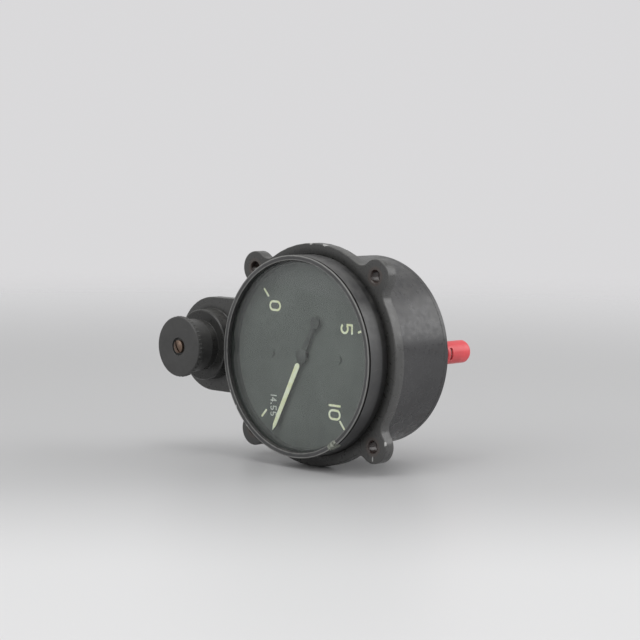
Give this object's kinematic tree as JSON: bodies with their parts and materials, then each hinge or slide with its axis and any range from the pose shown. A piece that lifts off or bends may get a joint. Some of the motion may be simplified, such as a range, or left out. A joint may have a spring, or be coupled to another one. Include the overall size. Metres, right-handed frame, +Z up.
{
  "type": "fuel quantity indicator",
  "caption": "Round panel instrument with a pointer over a dark dial, a lugged flange, a side pod with a setting knob and a capped rear connector.",
  "frame": {"origin": "centre of the four lug holes, on the front face of the flange", "axes": "+Y along the dial's axis from the window to the back, +X towards the top of the dial, +Z up as the instrument lies in the picture, with the knob towards -X"},
  "size_m": [0.1161, 0.0754, 0.0846],
  "materials": {
    "case_paint": "satin, worn at the edges",
    "bezel_paint": "satin, worn bright at the lip",
    "knob_plastic": "matt",
    "dark_steel": "blackened",
    "bright_steel": "bright",
    "sealing_compound": "dull gloss",
    "black_rubber": "matt",
    "window_glass": "polished",
    "black_paint": "matt",
    "dial_paint": "matt",
    "luminous_paint": "matt",
    "white_paint": "matt",
    "brass": "satin",
    "soft_iron": "plain",
    "copper_winding": "enamelled wire",
    "aluminium": "satin",
    "insulator": "satin",
    "resistance_wire": "wound wire",
    "lead_sleeve": "varnished sleeve",
    "magnet_steel": "ground",
    "red_plastic": "semi-gloss"
  },
  "bodies": {
    "body": {"case_body": "case_paint", "bezel_ring": "bezel_paint", "bezel_grub_screws": "dark_steel", "inspection_seal": "sealing_compound", "window_gasket": "black_rubber", "window_glass": "window_glass", "spacer_ring": "black_paint", "retaining_ring": "black_paint", "dial_plate": "dial_paint", "dial_markings": "luminous_paint", "dial_small_number": "white_paint", "dial_screws": "dark_steel", "dial_posts": "brass", "stator_core": "soft_iron", "stator_coils": "copper_winding", "stator_posts": "brass", "movement_plate": "aluminium", "pointer_stop_post": "bright_steel", "bridge_pillars": "brass", "rear_bridge": "brass", "bridge_screws": "bright_steel", "front_jewel": "brass", "rear_jewel": "brass", "cover_gasket": "black_rubber", "rear_cover": "case_paint", "cover_screws": "dark_steel", "connector_shell": "aluminium", "connector_nut": "bright_steel", "connector_insert": "insulator", "connector_pin": "brass", "spindle_bush": "brass", "resistor_former": "insulator", "resistor_winding": "resistance_wire", "resistor_base": "insulator", "stop_pin": "bright_steel", "pod_back_plate": "case_paint", "pod_back_screws": "dark_steel", "resistor_leads": "lead_sleeve", "coil_leads": "lead_sleeve"},
    "pointer_assembly": {"pointer_blade": "black_paint", "pointer_lume": "luminous_paint", "pointer_hub": "black_paint", "pointer_spindle": "bright_steel", "pointer_stop_arm": "brass", "magnet_rotor": "magnet_steel"},
    "knob_assembly": {"knob": "knob_plastic", "knob_screw": "brass", "knob_spindle": "bright_steel", "spindle_clip": "bright_steel", "wiper_arm": "brass"},
    "cap": {"dust_cap": "red_plastic"}
  },
  "joints": [
    {"name": "pointer_turn", "type": "hinge", "parent": "body", "child": "pointer_assembly", "pos_m": [0, 0, 0], "axis": [0, 1, 0], "range_deg": [-250.6, 17.4]},
    {"name": "knob_turn", "type": "hinge", "parent": "body", "child": "knob_assembly", "pos_m": [-0.0552, 0, 0], "axis": [0, 1, 0], "range_deg": [-160, 160]},
    {"name": "cap_slide", "type": "slide", "parent": "body", "child": "cap", "axis": [0, 1, 0], "range_m": [0, 0.012]}
  ]
}
